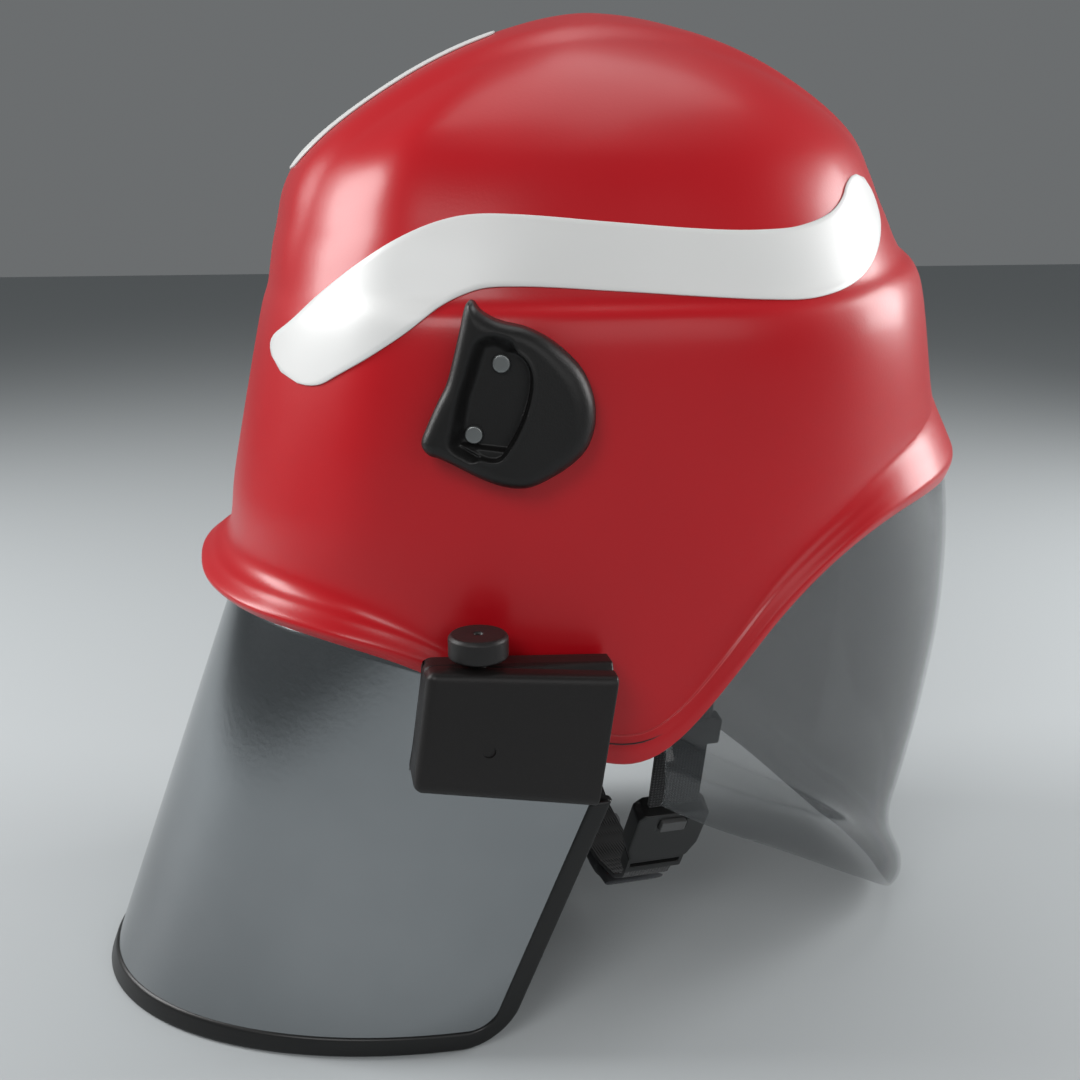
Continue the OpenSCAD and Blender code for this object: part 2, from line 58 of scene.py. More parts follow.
def interp(xs, ys, x):
    xs = np.asarray(xs, float); ys = np.asarray(ys, float)
    m = np.empty_like(ys)
    m[1:-1] = (ys[2:] - ys[:-2]) / (xs[2:] - xs[:-2])
    m[0] = (ys[1] - ys[0]) / (xs[1] - xs[0]); m[-1] = (ys[-1] - ys[-2]) / (xs[-1] - xs[-2])
    x = np.clip(x, xs[0], xs[-1]); i = np.clip(np.searchsorted(xs, x, side="right") - 1, 0, len(xs) - 2)
    h = xs[i + 1] - xs[i]; t = (x - xs[i]) / h
    return (2*t**3 - 3*t**2 + 1)*ys[i] + (t**3 - 2*t**2 + t)*h*m[i] + (3*t**2 - 2*t**3)*ys[i + 1] + (t**3 - t**2)*h*m[i + 1]


def ring(k, ph):
    a, bf, br, nf, nr, zf, zs, zr, mode = LEV[k]
    c, s = np.cos(ph), np.sin(ph)
    n = nr + (nf - nr) * (1 + c) / 2
    x = a * np.sign(s) * np.abs(s) ** (2 / n)
    b = np.where(c > 0, bf, br)
    y = YC - b * np.sign(c) * np.abs(c) ** (2 / n)
    if mode:
        nx = np.sign(x) * (np.abs(x) / a) ** (n - 1) / a
        ny = np.sign(y - YC) * (np.abs(y - YC) / b) ** (n - 1) / b
        l = np.hypot(nx, ny) + 1e-12
        o = interp(LIPY, LIPO, y) * LIPW[k]
        z = interp(RIMY, RIMZ, y) + zs * interp([-137, -90, 40, 75, 110, 150, 175], [0.78, 0.85, 1, 0.8, 1, 1.45, 1.5], y)
        return np.stack([x + o * nx / l, y + o * ny / l, z], -1)
    z = zs + np.where(c > 0, (zf - zs) * c * c, (zr - zs) * np.abs(c) ** (0.85 if k == 4 else 2))
    return np.stack([x, y, z], -1)


def sst(v):
    c = np.clip(v, 0, 1)
    return c * c * (3 - 2 * c)


def sp(t, ph):
    t, ph = np.broadcast_arrays(np.asarray(t, float), np.asarray(ph, float))
    sh = t.shape; t = t.ravel(); ph = ph.ravel()
    P = [ring(k, ph) for k in range(NL)]
    P = [2 * P[0] - P[1]] + P + [np.tile(APEX, (len(ph), 1)), ring(NL - 1, ph + np.pi)]
    P = np.stack(P)
    i = np.clip(np.floor(t).astype(int), 0, NL - 1); u = (t - i)[:, None]
    r = np.arange(len(t))
    a, b, c, d = P[i, r], P[i + 1, r], P[i + 2, r], P[i + 3, r]
    g = 0.5 * ((2*b) + (c - a)*u + (2*a - 5*b + 4*c - d)*u*u + (3*b - a - 3*c + d)*u**3)
    rr = g - np.array([0, 18, 235.0]); rr /= np.linalg.norm(rr, axis=-1, keepdims=True)
    pd = np.degrees(np.abs(np.arctan2(np.sin(ph), np.cos(ph))))
    rb = 2 * np.exp(-((pd - 47) / 9) ** 2) * np.clip((t - 3.2) / 1.2, 0, 1) * np.clip(9.2 - t, 0, 1)
    cb = 1.8 * sst((48 - np.abs(g[:, 0])) / 16) * np.clip((t - 6) / 1.5, 0, 1)
    g = g + rr * (rb + cb)[:, None]
    return g.reshape(sh + (3,))


def sn(t, ph):
    t, ph = np.broadcast_arrays(np.asarray(t, float), np.asarray(ph, float))
    e = 0.02
    n = np.cross(sp(t, ph + e) - sp(t, ph - e), sp(np.minimum(t + 0.08, NL), ph) - sp(np.maximum(t - 0.08, 0), ph))
    l = np.linalg.norm(n, axis=-1, keepdims=True)
    n = np.where(l > 1e-9, n / np.maximum(l, 1e-9), [0, 0, 1.0])
    n = np.where((t > NL - 0.05)[..., None], [0, 0, 1.0], n)
    return n


def so(t, ph, o):
    return sp(t, ph) + np.asarray(o)[..., None] * sn(t, ph) if np.ndim(o) else sp(t, ph) + o * sn(t, ph)


# ---------------------------------------------------------------- mesh helpers
def link(o):
    bpy.context.scene.collection.objects.link(o); return o


def mk(name, V, F, mat, smooth=True, shift=True):
    V = np.asarray(V, float).reshape(-1, 3).copy()
    if shift: V[:, 1] += YS
    me = bpy.data.meshes.new(name)
    me.from_pydata((V * MM).tolist(), [], [list(map(int, f)) for f in F])
    me.validate(); me.update()
    bm = bmesh.new(); bm.from_mesh(me)
    bmesh.ops.remove_doubles(bm, verts=bm.verts, dist=2e-6)
    bmesh.ops.recalc_face_normals(bm, faces=bm.faces)
    bm.to_mesh(me); bm.free()
    if smooth: me.shade_smooth()
    o = link(bpy.data.objects.new(name, me))
    if mat: me.materials.append(mat)
    return o


def quads(n, m, wrap=False, base=0, flip=False):
    F = []
    for i in range(n - 1):
        for j in range(m if wrap else m - 1):
            k = (j + 1) % m
            q = [base + i*m + j, base + i*m + k, base + (i + 1)*m + k, base + (i + 1)*m + j]
            F.append(q[::-1] if flip else q)
    return F


def tube_grid(G, wrap_rows=True, cap=True):
    """G (n sections, m points in a closed section): side faces plus end caps."""
    n, m = G.shape[:2]
    F = quads(n, m, True)
    if cap:
        F.append(list(range(m))[::-1]); F.append([(n - 1)*m + j for j in range(m)])
    return F


def slab(name, A, B, mat, r=None, **kw):
    """closed sheet between two grids (rows x columns), with rounded edges of the sheet's own thickness."""
    n, m = A.shape[:2]
    V = np.concatenate([A.reshape(-1, 3), B.reshape(-1, 3)]); N = n * m
    F = quads(n, m) + quads(n, m, base=N, flip=True)
    per = [j for j in range(m)] + [i*m + m - 1 for i in range(1, n)] + [(n - 1)*m + j for j in range(m - 2, -1, -1)] + [i*m for i in range(n - 2, 0, -1)]
    # rounded edge: a few extra rings between the two perimeters, pushed outward
    c = np.array(per)
    PA, PB = A.reshape(-1, 3)[c], B.reshape(-1, 3)[c]
    nb = []
    for q, idx in enumerate(per):
        i, j = divmod(idx, m)
        d = np.zeros(3)
        if i == 0: d += A[0, j] - A[1, j]
        if i == n - 1: d += A[n - 1, j] - A[n - 2, j]
        if j == 0: d = d + (A[i, 0] - A[i, 1])
        if j == m - 1: d = d + (A[i, m - 1] - A[i, m - 2])
        nb.append(d / (np.linalg.norm(d) + 1e-9))
    nb = np.array(nb); half = np.linalg.norm(PA - PB, axis=1, keepdims=True) / 2
    rings = [c]
    K = 3
    extra = []
    for k in range(1, K):
        th = math.pi * k / K
        mid = (PA + PB) / 2 + (PA - PB) / 2 * math.cos(th) + nb * half * math.sin(th) * (0.9 if r is None else r)
        rings.append(2*N + len(extra) * len(c) + np.arange(len(c))); extra.append(mid)
    rings.append(c + N)
    V = np.concatenate([V] + extra)
    L = len(c)
    for a, b in zip(rings[:-1], rings[1:]):
        for j in range(L):
            k = (j + 1) % L
            F.append([a[k], a[j], b[j], b[k]])
    return mk(name, V, F, mat, **kw)


def lathe(name, prof, origin, axis, mat, n=96, **kw):
    """prof: list of (radius, height) mm round axis from origin (raw mm)."""
    axis = Vector(axis).normalized(); q = Vector((0, 0, 1)).rotation_difference(axis).to_matrix()
    V = []; 
    for r, h in prof:
        for j in range(n):
            a = 2*math.pi*j/n
            v = q @ Vector((r*math.cos(a), r*math.sin(a), h)) + Vector(origin); V.append(tuple(v))
    F = quads(len(prof), n, True)
    return mk(name, V, F, mat, **kw)


def arc_pts(P, r=0.5, k=4):
    """round the corners of an open (radius, height) profile."""
    P = [np.array(p, float) for p in P]; out = [tuple(P[0])]
    for a, b, c in zip(P[:-2], P[1:-1], P[2:]):
        u = (a - b); v = (c - b); lu, lv = np.linalg.norm(u), np.linalg.norm(v)
        rr = min(r, lu*0.45, lv*0.45); u = u/lu; v = v/lv
        for i in range(k + 1):
            t = i / k
            p = (1 - t)**2*(b + u*rr) + 2*t*(1 - t)*b + t*t*(b + v*rr); out.append(tuple(p))
    out.append(tuple(P[-1])); return out


def crom(P, n, closed=True):
    """Catmull-Rom through points, n samples per span."""
    P = np.asarray(P, float); N = len(P); out = []
    for i in range(N if closed else N - 1):
        a, b, c, d = (P[(i - 1) % N], P[i], P[(i + 1) % N], P[(i + 2) % N]) if closed else (P[max(i - 1, 0)], P[i], P[i + 1], P[min(i + 2, N - 1)])
        for k in range(n):
            u = k / n
            out.append(0.5*((2*b) + (c - a)*u + (2*a - 5*b + 4*c - d)*u*u + (3*b - a - 3*c + d)*u**3))
    if not closed: out.append(P[-1])
    return np.array(out)


def sdist(Q, P):
    """signed distance (positive inside) from points Q to closed polygon P."""
    Q = np.asarray(Q, float); A = P; B = np.roll(P, -1, 0); ab = B - A
    best = np.full(len(Q), 1e9); ins = np.zeros(len(Q), bool)
    for a, b, d in zip(A, B, ab):
        w = Q - a; t = np.clip((w @ d) / (d @ d + 1e-12), 0, 1)
        best = np.minimum(best, np.linalg.norm(w - t[:, None]*d, axis=1))
        cr = ((a[1] > Q[:, 1]) != (b[1] > Q[:, 1]))
        xx = (b[0] - a[0]) * (Q[:, 1] - a[1]) / (b[1] - a[1] + 1e-12) + a[0]
        ins ^= cr & (Q[:, 0] < xx)
    return np.where(ins, best, -best)


# ---------------------------------------------------------------- materials
def new_mat(name, color, rough=0.5, metal=0.0, coat=0.0, coat_r=0.1, spec=0.5, alpha=1.0, sheen=0.0):
    m = bpy.data.materials.new(name); m.use_nodes = True
    b = m.node_tree.nodes["Principled BSDF"]
    b.inputs["Base Color"].default_value = (*color, 1); b.inputs["Roughness"].default_value = rough
    b.inputs["Metallic"].default_value = metal; b.inputs["Coat Weight"].default_value = coat
    b.inputs["Coat Roughness"].default_value = coat_r; b.inputs["Specular IOR Level"].default_value = spec
    b.inputs["Alpha"].default_value = alpha; b.inputs["Sheen Weight"].default_value = sheen
    m.diffuse_color = (*color, 1)
    return m


def node(m, kind, **kw):
    n = m.node_tree.nodes.new(kind)
    for k, v in kw.items(): setattr(n, k, v)
    return n


def lk(m, a, b): m.node_tree.links.new(a, b)


def bsdf(m): return m.node_tree.nodes["Principled BSDF"]


def obj_coords(m, scale=(1, 1, 1)):
    tc = node(m, "ShaderNodeTexCoord"); mp = node(m, "ShaderNodeMapping"); mp.inputs["Scale"].default_value = scale
    lk(m, tc.outputs["Object"], mp.inputs["Vector"]); return mp.outputs["Vector"]


def noise(m, vec, scale, detail=2.0, rough=0.5):
    n = node(m, "ShaderNodeTexNoise"); n.inputs["Scale"].default_value = scale
    n.inputs["Detail"].default_value = detail; n.inputs["Roughness"].default_value = rough
    lk(m, vec, n.inputs["Vector"]); return n.outputs["Fac"]


def ramp(m, fac, stops):
    r = node(m, "ShaderNodeValToRGB"); e = r.color_ramp.elements
    e[0].position, e[0].color = stops[0][0], (*stops[0][1], 1)
    e[1].position, e[1].color = stops[-1][0], (*stops[-1][1], 1)
    for p, c in stops[1:-1]:
        x = e.new(p); x.color = (*c, 1)
    lk(m, fac, r.inputs["Fac"]); return r.outputs["Color"]


def bump(m, h, dist, strength=1.0, prev=None):
    b = node(m, "ShaderNodeBump"); b.inputs["Distance"].default_value = dist; b.inputs["Strength"].default_value = strength
    lk(m, h, b.inputs["Height"])
    if prev: lk(m, prev, b.inputs["Normal"])
    return b.outputs["Normal"]


def grainy(name, color, rough, scale=1400, dist=0.00008, var=0.12, strength=0.6, **kw):
    m = new_mat(name, color, rough, **kw); v = obj_coords(m)
    n1 = noise(m, v, scale, 3.0, 0.6); n2 = noise(m, v, 9.0, 3.0, 0.55)
    lk(m, ramp(m, n2, [(0.3, tuple(c*(1 - var) for c in color)), (0.7, tuple(min(1, c*(1 + var)) for c in color))]), bsdf(m).inputs["Base Color"])
    rr = node(m, "ShaderNodeMapRange"); rr.inputs["To Min"].default_value = rough*0.88; rr.inputs["To Max"].default_value = min(1, rough*1.12)
    lk(m, noise(m, v, 30.0, 2.0), rr.inputs["Value"]); lk(m, rr.outputs["Result"], bsdf(m).inputs["Roughness"])
    lk(m, bump(m, n1, dist, strength), bsdf(m).inputs["Normal"])
    return m


M_RED = grainy("shell_red", (0.46, 0.0035, 0.009), 0.34, scale=1000, dist=0.00006, var=0.04, strength=0.5, spec=0.36, coat=0.10, coat_r=0.16)
M_IN = grainy("shell_inside", (0.03, 0.03, 0.032), 0.6, scale=700, dist=0.0001)
M_WHITE = grainy("stripe_white", (0.70, 0.70, 0.69), 0.42, scale=1600, dist=0.00004, var=0.02, strength=0.3, coat=0.15, coat_r=0.3)
M_ADP = grainy("adapter_black", (0.006, 0.0056, 0.0055), 0.40, scale=1500, dist=0.00010, strength=0.7, spec=0.32)
M_BOX = grainy("box_black", (0.0075, 0.0062, 0.006), 0.42, scale=1400, dist=0.00010, strength=0.7, spec=0.32)
M_KNOB = grainy("knob_black", (0.010, 0.009, 0.009), 0.46, scale=1200, dist=0.00008, strength=0.6, spec=0.35)
M_SCREW = grainy("screw_metal", (0.20, 0.21, 0.21), 0.36, scale=2200, dist=0.00002, metal=0.9)
M_HINGE = grainy("hinge_black", (0.02, 0.02, 0.02), 0.55, scale=1200)
M_TRIM = grainy("trim_rubber", (0.007, 0.007, 0.007), 0.36, scale=900, dist=0.00004, spec=0.35)
M_BAND = grainy("band_plastic", (0.020, 0.020, 0.021), 0.5, scale=900)
M_RATCH = grainy("ratchet_plastic", (0.025, 0.025, 0.025), 0.45, scale=900)
M_BUCK = grainy("buckle_black", (0.013, 0.013, 0.013), 0.36, scale=1100, dist=0.00006)
M_BTN = grainy("button_grey", (0.10, 0.10, 0.10), 0.45, scale=1100)
M_JAW = grainy("jaw_grey", (0.08, 0.08, 0.08), 0.5, scale=900)
M_FOAM = grainy("liner_foam", (0.055, 0.055, 0.060), 0.85, scale=260, dist=0.0005, strength=0.7)

M_VIS = new_mat("visor_mirror", (0.27, 0.285, 0.295), 0.17, metal=1.0)
v_ = obj_coords(M_VIS)
lk(M_VIS, bump(M_VIS, noise(M_VIS, v_, 420, 2.0, 0.5), 0.00022, 0.10), bsdf(M_VIS).inputs["Normal"])
lk(M_VIS, ramp(M_VIS, noise(M_VIS, v_, 14, 3), [(0.3, (0.25, 0.265, 0.275)), (0.7, (0.29, 0.305, 0.315))]), bsdf(M_VIS).inputs["Base Color"])

M_GUARD = new_mat("guard_smoke", (0.045, 0.050, 0.053), 0.09, spec=0.7, alpha=0.42, coat=0.5, coat_r=0.04)
v_ = obj_coords(M_GUARD)
lk(M_GUARD, bump(M_GUARD, noise(M_GUARD, v_, 22, 1.5), 0.0016, 0.10), bsdf(M_GUARD).inputs["Normal"])
lk(M_GUARD, ramp(M_GUARD, noise(M_GUARD, v_, 8, 2), [(0.3, (0.040, 0.045, 0.048)), (0.7, (0.052, 0.057, 0.06))]), bsdf(M_GUARD).inputs["Base Color"])


def fabric(name, color, scale, dist, rough=0.85):
    m = new_mat(name, color, rough, sheen=0.25); v = obj_coords(m)
    w1 = node(m, "ShaderNodeTexWave"); w1.wave_type = "BANDS"; w1.bands_direction = "Z"; w1.inputs["Scale"].default_value = scale; w1.inputs["Distortion"].default_value = 0.5
    w2 = node(m, "ShaderNodeTexWave"); w2.wave_type = "BANDS"; w2.bands_direction = "Y"; w2.inputs["Scale"].default_value = scale; w2.inputs["Distortion"].default_value = 0.5
    lk(m, v, w1.inputs["Vector"]); lk(m, v, w2.inputs["Vector"])
    mx = node(m, "ShaderNodeMath", operation="MULTIPLY"); lk(m, w1.outputs["Fac"], mx.inputs[0]); lk(m, w2.outputs["Fac"], mx.inputs[1])
    lk(m, bump(m, mx.outputs["Value"], dist, 0.7), bsdf(m).inputs["Normal"])
    lk(m, ramp(m, noise(m, v, 60, 4), [(0.3, tuple(c*0.8 for c in color)), (0.7, tuple(c*1.25 for c in color))]), bsdf(m).inputs["Base Color"])
    return m


M_WEB = fabric("webbing", (0.016, 0.016, 0.017), 260, 0.0004)
M_PAD = fabric("pad_fabric", (0.075, 0.078, 0.085), 180, 0.0003)
MAT = {"shell_red": M_RED, "stripe_white": M_WHITE, "adapter_black": M_ADP, "screw_metal": M_SCREW, "box_black": M_BOX, "jaw_grey": M_JAW, "knob_black": M_KNOB,
       "hinge_black": M_HINGE, "visor_mirror": M_VIS, "trim_rubber": M_TRIM, "liner_foam": M_FOAM, "pad_fabric": M_PAD, "band_plastic": M_BAND, "webbing": M_WEB,
       "ratchet_plastic": M_RATCH, "guard_smoke": M_GUARD, "buckle_black": M_BUCK, "button_grey": M_BTN}
BODY = {n: b for b, ns in frame["record"]["behaviour"]["bodies"].items() for n in ns}


def place(o, nodes, body=None):
    nodes = [nodes] if isinstance(nodes, str) else list(nodes)
    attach(o, body or BODY[nodes[0]] if nodes else body)
    if nodes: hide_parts(*nodes)
    return o


def dress(name, slot, bevel=0.4, seg=3, ang=32):
    """a CAD node that stays: finish, welded vertices and softened edges."""
    o = frame["nodes"][name]; o.data.materials.clear(); o.data.materials.append(MAT[slot])
    w = o.modifiers.new("weld", "WELD"); w.merge_threshold = 2e-6
    if bevel:
        b = o.modifiers.new("bevel", "BEVEL"); b.width = bevel*MM; b.segments = seg; b.limit_method = "ANGLE"; b.angle_limit = math.radians(ang)
        b.use_clamp_overlap = True; b.harden_normals = False
    n = o.modifiers.new("wn", "WEIGHTED_NORMAL"); n.keep_sharp = False
    return o


# ---------------------------------------------------------------- shell
def build_shell():
    nu, nv = 384, 200
    ph = np.arange(nu) * 2*np.pi/nu
    ts = np.concatenate([np.linspace(0, 4, 90), np.linspace(4, NL - 0.12, nv - 90)[1:]])
    T, PH = np.meshgrid(ts, ph, indexing="ij")
    A = so(T, PH, 0.0); B = so(T, PH, -3.5)
    n = len(ts)
    # rounded rim between the two faces
    d = A[0] - A[2]; d /= np.linalg.norm(d, axis=-1, keepdims=True)
    rim = []
    for k in range(1, 6):
        th = math.pi*k/6
        rim.append((A[0] + B[0])/2 + (A[0] - B[0])/2*math.cos(th) + d*1.3*math.sin(th))
    rows = [*B[::-1], *rim[::-1], *A]
    G = np.array(rows)
    V = np.concatenate([G.reshape(-1, 3), [APEX + [0, 0, 1.8 - 3.5], APEX + [0, 0, 1.8]]])
    F = quads(len(G), nu, True); N = len(G)*nu
    for j in range(nu):
        k = (j + 1) % nu
        F.append([k, j, N]); F.append([N - nu + j, N - nu + k, N + 1])
    o = mk("shell_skin", V, F, M_RED)
    o.data.materials.append(M_IN)
    # inner face gets the dark finish
    nb = len(B)
    cz = np.empty(len(o.data.polygons)*3); o.data.polygons.foreach_get("center", cz); cz = cz.reshape(-1, 3)
    nz = np.empty(len(o.data.polygons)*3); o.data.polygons.foreach_get("normal", nz); nz = nz.reshape(-1, 3)
    ctr = np.array([0, (18 + YS)*MM, 0.19]); out = np.einsum("ij,ij->i", cz - ctr, nz)
    hz = cz[:, 2]*1000; yy = cz[:, 1]*1000 - YS
    lipz = interp(RIMY, RIMZ, yy)
    k = np.arange(len(cz)); idx = ((k < (nb - 1)*nu) & (hz > lipz + 6)).astype(np.int32)
    # the rolled edge is softened over a few millimetres, as moulded
    g = o.vertex_groups.new(name="rim"); vv = np.empty(len(o.data.vertices)*3); o.data.vertices.foreach_get("co", vv); vv = vv.reshape(-1, 3)*1000
    wgt = np.clip(1 - (vv[:, 2] - interp(RIMY, RIMZ, vv[:, 1] - YS) - 16)/14, 0, 1)
    for i in np.nonzero(wgt > 0.01)[0]: g.add([int(i)], float(wgt[i]), "REPLACE")
    sm = o.modifiers.new("soft", "SMOOTH"); sm.vertex_group = "rim"; sm.factor = 0.5; sm.iterations = 26
    o.data.polygons.foreach_set("material_index", idx); o.data.update()
    place(o, "shell")


build_shell()


def find_t(ph, z):
    a = np.full(ph.shape, 3.2); b = np.full(ph.shape, 9.8)
    for _ in range(18):
        m = (a + b)/2; lo = sp(m, ph)[..., 2] < z
        a = np.where(lo, m, a); b = np.where(lo, b, m)
    return (a + b)/2


def on_shell(y, z):
    a = np.full(y.shape, math.radians(2)); b = np.full(y.shape, math.radians(178))
    for _ in range(18):
        m = (a + b)/2; lo = sp(find_t(m, z), m)[..., 1] < y
        a = np.where(lo, m, a); b = np.where(lo, b, m)
    p = (a + b)/2
    return find_t(p, z), p


S_K = [0, 0.06, 0.14, 0.21, 0.28, 0.35, 0.48, 0.61, 0.7, 0.78, 0.86, 0.93, 1]
S_Y = [-104.6, -95.5, -80, -65, -50, -35, -7, 24, 45, 62, 79, 91, 98]
S_Z = [247.0, 255.8, 269, 280, 286.3, 287.2, 285.4, 283.2, 282.4, 283.2, 288, 297, 310]


def build_stripes():
    n, m = 150, 15
    s = np.linspace(0, 1, n)
    y, z = interp(S_K, S_Y, s), interp(S_K, S_Z, s)
    c = np.stack([y, z], -1); seg = np.linalg.norm(np.diff(c, axis=0), axis=1); L = np.concatenate([[0], np.cumsum(seg)])
    tan = np.gradient(c, axis=0); tan /= np.linalg.norm(tan, axis=1, keepdims=True)
    de = np.minimum(L, L[-1] - L); hr = interp([0, 0.05, 0.11, 0.18, 0.45, 0.65, 0.85, 1], [8.5, 9.2, 10.4, 11.1, 10.0, 10.0, 11.3, 10.5], L/L[-1]); hw = hr*np.sqrt(np.clip(1 - np.clip(1 - de/hr, 0, 1)**2, 0.0, 1)); hw = np.maximum(hw, 0.4)
    w = np.linspace(-1, 1, m)[None, :]*hw[:, None]
    Y = y[:, None] - tan[:, 1:2]*w; Z = z[:, None] + tan[:, 0:1]*w
    t, p = on_shell(Y, Z)
    for sgn, side in ((1, "left"), (-1, "right")):
        A, B = so(t, p, 0.75), so(t, p, 0.02)
        if sgn < 0: A = A*[-1, 1, 1]; B = B*[-1, 1, 1]
        o = slab(f"reflective_{side}", A, B, M_WHITE); place(o, f"stripe_{side}")
    n, m = 120, 31
    T = np.linspace(7.85, 10.0, n); P0 = sp(T, np.zeros(n)); L = np.concatenate([[0], np.cumsum(np.linalg.norm(np.diff(P0, axis=0), axis=1))])
    R = 12.0; de = np.minimum(L, L[-1] - L); hw = 20 - R + R*np.sqrt(np.clip(1 - np.clip(1 - de/R, 0, 1)**2, 0, 1))
    X = np.linspace(-1, 1, m)[None, :]*hw[:, None]
    TT = np.tile(T[:, None], (1, m)); PH = np.zeros_like(TT)
    lo, hi = np.full(X.shape, -1.45), np.full(X.shape, 1.45)
    for _ in range(22):
        md = (lo + hi)/2; c = sp(TT, md)[..., 0] < X
        lo = np.where(c, md, lo); hi = np.where(c, hi, md)
    PH = (lo + hi)/2
    o = slab("reflective_front", so(TT, PH, 0.75), so(TT, PH, 0.02), M_WHITE); place(o, "stripe_front")


build_stripes()

# ---------------------------------------------------------------- mask adapters
AD = dict(x=110.5, y=-40, z=243, yaw=15)
PROF = [[-26,-12],[-24,-6.5],[-21,0],[-18,6],[-16,13],[-14,21],[-12,29],[-10,30],[-8,27.5],[-5,25.5],[-1,24],[5.5,22.5],[12,19.5],[18,15],[23,9.5],[26,3],[27,-3],[26.5,-9],[24,-15],[19,-20],[12,-24],[6,-26],[-1,-25.5],[-8,-23],[-15,-19.5],[-20,-17],[-24,-15.5]]
POCK = [[-7,17.5],[-3.5,18.5],[1,17],[5.5,14],[7.5,10.5],[8,6],[7,0],[5,-6],[1,-13.5],[-2.5,-17],[-7.5,-16.5],[-12,-14],[-15,-11.5],[-14,-5],[-12.5,2],[-10.5,8],[-8.5,14.5]]


def ad_xf(P, sgn=1):
    a = math.radians(-AD["yaw"]); x, y, z = P[..., 2], P[..., 0], P[..., 1]
    X = x*math.cos(a) - y*math.sin(a); Y = x*math.sin(a) + y*math.cos(a)
    out = np.stack([(X + AD["x"])*sgn, Y + AD["y"], z + AD["z"]], -1); return out


def build_adapters():
    P = crom(PROF, 16); c = np.array([1.0, -3.0]); K = 90
    r = np.concatenate([np.linspace(0.02, 0.8, 50), np.linspace(0.8, 1, K - 50)[1:]])
    G = c + r[:, None, None]*(P[None] - c)
    Q = G.reshape(-1, 2); d = np.maximum(sdist(Q, P), 0); dp = sdist(Q, crom(POCK, 8))
    R = 4.4 + 2.4*sst((Q[:, 0] - 4)/16)
    h = 13.6 - 1.6*sst((Q[:, 0] + 2)/26) - (R - np.sqrt(np.clip(R*R - np.clip(R - d, 0, R)**2, 0, None)))
    soft = sst((-1 - (Q[:, 0] - 0.35*Q[:, 1]))/5)
    wid = 0.8 + 5.0*soft
    h = h - 5.4*sst((dp + 3.4*soft)/wid) + 0.25*np.exp(-((dp + 0.4)/0.4)**2)*(1 - soft)
    # bevelled lower lip of the pocket
    h = h + 2.6*sst((-13.4 - Q[:, 1] - 0.12*Q[:, 0])/1.4)*sst(dp/0.8)
    top = np.concatenate([Q, h[:, None]], 1).reshape(len(r), len(P), 3)
    base = np.concatenate([P, np.zeros((len(P), 1))], 1); mid = np.concatenate([P, np.full((len(P), 1), 6.0)], 1)
    G3 = np.concatenate([top, mid[None], base[None]])
    for sgn, side in ((1, "left"), (-1, "right")):
        V = ad_xf(G3, sgn).reshape(-1, 3); F = quads(len(G3), len(P), True); F.append(list(range(len(P))))
        F.append([len(V) - len(P) + j for j in range(len(P))])
        o = mk(f"adapter_{side}_form", V, F, M_ADP); place(o, f"mask_adapter_{side}")
        for k, (u, w) in zip(("upper", "lower"), ((-1.5, 12), (-10, -9.5))):
            pr = arc_pts([(0.001, 9.75), (1.6, 9.75), (2.45, 9.7), (2.8, 9.35), (2.8, 8.0), (0.001, 8.0)], 0.25)
            n = 48; L = np.array([[[rr*math.cos(2*math.pi*j/n), rr*math.sin(2*math.pi*j/n), hh] for j in range(n)] for rr, hh in pr])
            L[..., 0] += u; L[..., 1] += w
            q = mk(f"screw_{k}_{side}", ad_xf(L, sgn).reshape(-1, 3), quads(len(pr), n, True), M_SCREW)
            place(q, f"adapter_screw_{k}_{side}")


build_adapters()

# ---------------------------------------------------------------- hinge boxes, knobs
BOX = dict(x=125.0, y=-44.0, z=140.5, yaw=4.0, pitch=8.0)


def box_xf(P, sgn):
    a, b = math.radians(-BOX["pitch"]), math.radians(-BOX["yaw"])
    x, y, z = P[..., 0], P[..., 1], P[..., 2]
    y2, z2 = y*math.cos(a) - z*math.sin(a), y*math.sin(a) + z*math.cos(a)
    x3, y3 = x*math.cos(b) - y2*math.sin(b), x*math.sin(b) + y2*math.cos(b)
    return np.stack([(x3 + BOX["x"])*sgn, y3 + BOX["y"], z2 + BOX["z"]], -1)


def fillet(P, rs, k=6):
    out = []; n = len(P); P = [np.array(p, float) for p in P]
    for i in range(n):
        a, b, c = P[i - 1], P[i], P[(i + 1) % n]; u, v = a - b, c - b; lu, lv = np.linalg.norm(u), np.linalg.norm(v)
        r = min(rs[i], lu*0.48, lv*0.48)
        for t in np.linspace(0, 1, k + 1):
            out.append((1 - t)**2*(b + u/lu*r) + 2*t*(1 - t)*b + t*t*(b + v/lv*r))
    return np.array(out)


def inset(P, d):
    t = np.roll(P, -1, 0) - np.roll(P, 1, 0); t /= np.linalg.norm(t, axis=1, keepdims=True) + 1e-9
    nrm = np.stack([-t[:, 1], t[:, 0]], -1); c = P.mean(0)
    if np.mean(np.sum(nrm*(c - P), 1)) < 0: nrm = -nrm
    return P + nrm*d


